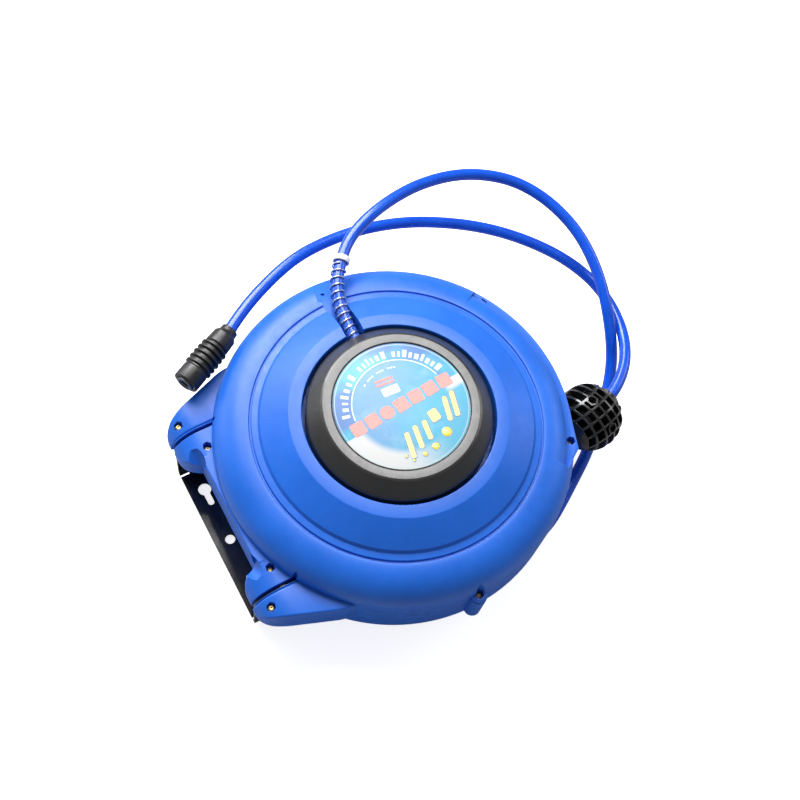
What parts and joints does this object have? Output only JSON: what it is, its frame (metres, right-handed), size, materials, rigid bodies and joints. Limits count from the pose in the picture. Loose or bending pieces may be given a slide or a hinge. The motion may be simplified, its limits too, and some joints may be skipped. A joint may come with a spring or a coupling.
{
  "type": "retractable hose reel",
  "caption": "Round spring-rewind air hose reel with a swivelling wall bracket, spring-guarded inlet hose, guided hose outlet, ball stopper and quick coupler.",
  "frame": {"origin": "drum axis at the plane the rear cover rests on", "axes": "+Z along the drum axis, out of the front cover and hub cap; -X towards the swivel wall bracket; Y parallel to the bracket's swivel pins"},
  "size_m": [0.4886, 0.4048, 0.153],
  "materials": {
    "casing_blue": "satin moulded plastic",
    "hub_black": "satin moulded plastic",
    "label_print": "printed film under clear gloss",
    "steel": "turned and zinc plated",
    "spring_steel": "blued spring steel",
    "nylon": "natural nylon",
    "brass": "machined brass",
    "seal_rubber": "matt rubber",
    "hose_blue": "glossy translucent polyurethane",
    "guard_wire": "bright spring wire",
    "guard_collar": "white plastic",
    "zinc_screw": "yellow zinc plated",
    "moulded_black": "moulded plastic",
    "ball_black": "satin moulded plastic",
    "bracket_paint": "gloss black powder coat",
    "sleeve_rubber": "satin rubber"
  },
  "bodies": {
    "case": {"rear_cover": "casing_blue", "front_cover": "casing_blue", "hub_cap": "hub_black", "hub_label": "label_print", "main_shaft": "steel", "front_bush": "nylon", "swivel_housing": "brass", "inlet_hose": "hose_blue", "guard_wire": "guard_wire", "guard_collar": "guard_collar", "inlet_ferrule": "steel", "inlet_plug": "brass", "pivot_pin_upper": "steel", "pivot_pin_lower": "steel", "lug_screw_outer_a": "zinc_screw", "lug_screw_outer_b": "zinc_screw", "lug_screw_inner_a": "zinc_screw", "lug_screw_inner_b": "zinc_screw", "outlet_screw": "zinc_screw", "foot_screw": "zinc_screw", "shaft_screw_1": "steel", "shaft_screw_2": "steel", "shaft_screw_3": "steel", "housing_screw_1": "steel", "housing_screw_2": "steel", "housing_screw_3": "steel", "outlet_guide": "moulded_black", "roller_pin_a": "steel", "roller_pin_b": "steel", "pawl_pin": "steel", "pawl_spring": "spring_steel", "coupler_body": "steel"},
    "bracket": {"wall_bracket": "bracket_paint"},
    "drum": {"drum_core": "moulded_black", "drum_front_flange": "moulded_black", "drum_screw_1": "steel", "drum_screw_2": "steel", "drum_screw_3": "steel", "spindle_screw_1": "steel", "spindle_screw_2": "steel", "spindle_screw_3": "steel", "swivel_spindle": "brass", "swivel_seal_1": "seal_rubber", "swivel_seal_2": "seal_rubber", "drum_elbow": "brass", "wound_hose": "hose_blue", "rear_bush": "nylon", "spring_cover": "steel", "ratchet_ring": "steel", "mainspring": "spring_steel"},
    "work_hose": {"work_hose_run": "hose_blue", "ball_half_front": "ball_black", "ball_half_rear": "ball_black", "ball_screw_1": "steel", "ball_screw_2": "steel", "work_hose_loop": "hose_blue"},
    "roller_a": {"guide_roller_a": "nylon"},
    "roller_b": {"guide_roller_b": "nylon"},
    "pawl_lever": {"pawl": "steel"},
    "release_sleeve": {"coupler_sleeve": "sleeve_rubber"}
  },
  "joints": [
    {"name": "bracket_swivel", "type": "hinge", "parent": "case", "child": "bracket", "pos_m": [-0.165, 0, 0.064], "axis": [0, 1, 0], "range_deg": [0, 135]},
    {"name": "hose_pull", "type": "slide", "parent": "case", "child": "work_hose", "axis": [0.9659, 0.2588, 0], "range_m": [0, 0.08702], "stiffness_N_per_m": 30, "deforming": ["work_hose_loop"]},
    {"name": "drum_spin", "type": "hinge", "parent": "case", "child": "drum", "pos_m": [0, 0, 0.06], "axis": [0, 0, 1], "range_deg": [0, 45.1]},
    {"name": "roller_a_spin", "type": "hinge", "parent": "case", "child": "roller_a", "pos_m": [0.11794, -0.06923, 0.064], "axis": [0, 0, 1], "continuous": true},
    {"name": "roller_b_spin", "type": "hinge", "parent": "case", "child": "roller_b", "pos_m": [0.12487, -0.09512, 0.064], "axis": [0, 0, 1], "continuous": true},
    {"name": "pawl_engage", "type": "hinge", "parent": "case", "child": "pawl_lever", "pos_m": [-0.05551, -0.08076, 0.02], "axis": [0, 0, 1], "range_deg": [-6, 0]},
    {"name": "sleeve_release", "type": "slide", "parent": "case", "child": "release_sleeve", "axis": [0.8841, 0.4673, 0], "range_m": [0, 0.004], "stiffness_N_per_m": 400}
  ],
  "couplings": [
    {"joint": "drum_spin", "follows": "hose_pull", "rad_per_m": 9.0253},
    {"joint": "roller_a_spin", "follows": "hose_pull", "rad_per_m": 142.86},
    {"joint": "roller_b_spin", "follows": "hose_pull", "rad_per_m": -142.86}
  ]
}
